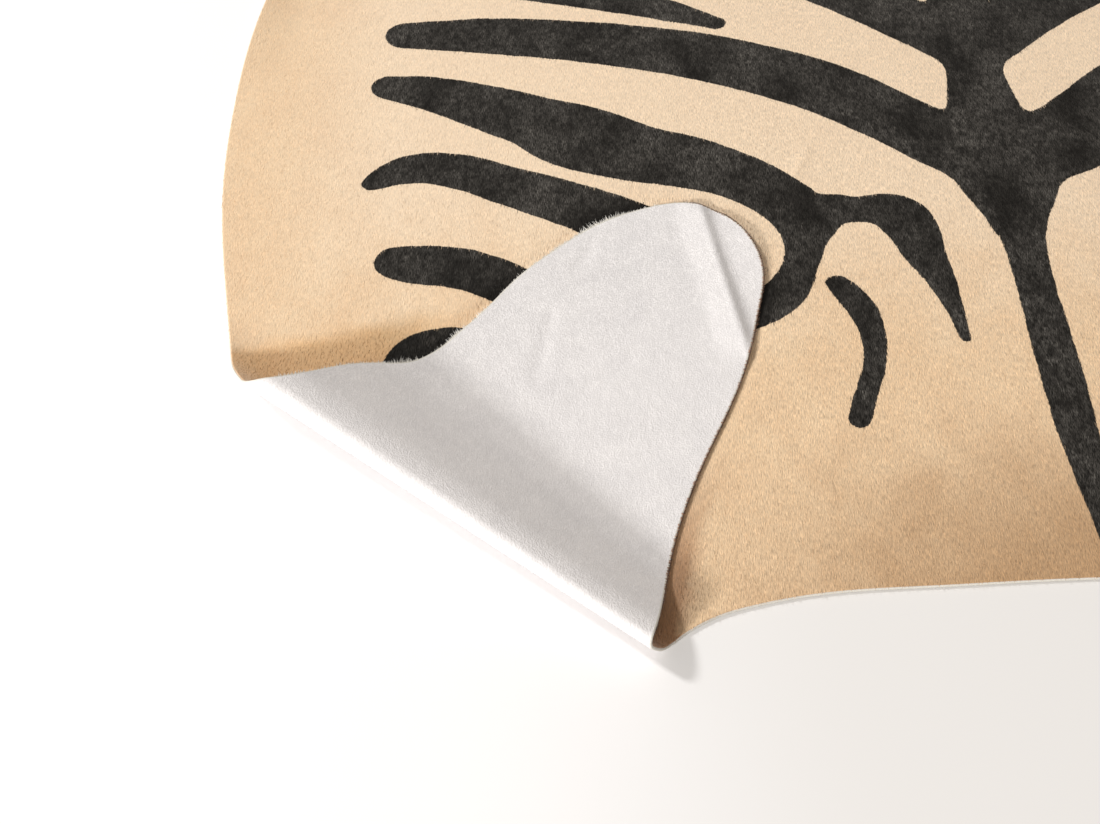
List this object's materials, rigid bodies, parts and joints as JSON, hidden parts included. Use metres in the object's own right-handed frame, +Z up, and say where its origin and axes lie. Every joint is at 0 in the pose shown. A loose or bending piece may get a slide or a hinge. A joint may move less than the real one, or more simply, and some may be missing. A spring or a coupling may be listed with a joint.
{
  "type": "leather hide with one leg turned over",
  "caption": "Hair-on cow hide for a floor or wall, one sheet of leather lying flat with its left hind leg turned over.",
  "frame": {"origin": "middle of the hide's box, on the floor that it lies on", "axes": "+Z up, +Y towards the neck along the spine, +X towards the animal's right side"},
  "size_m": [1.9694, 2.3144, 0.0628],
  "materials": {
    "hide": "short tan hair with printed black stripes, pale grey suede underneath"
  },
  "bodies": {
    "root": {"hide": "hide"}
  },
  "joints": []
}
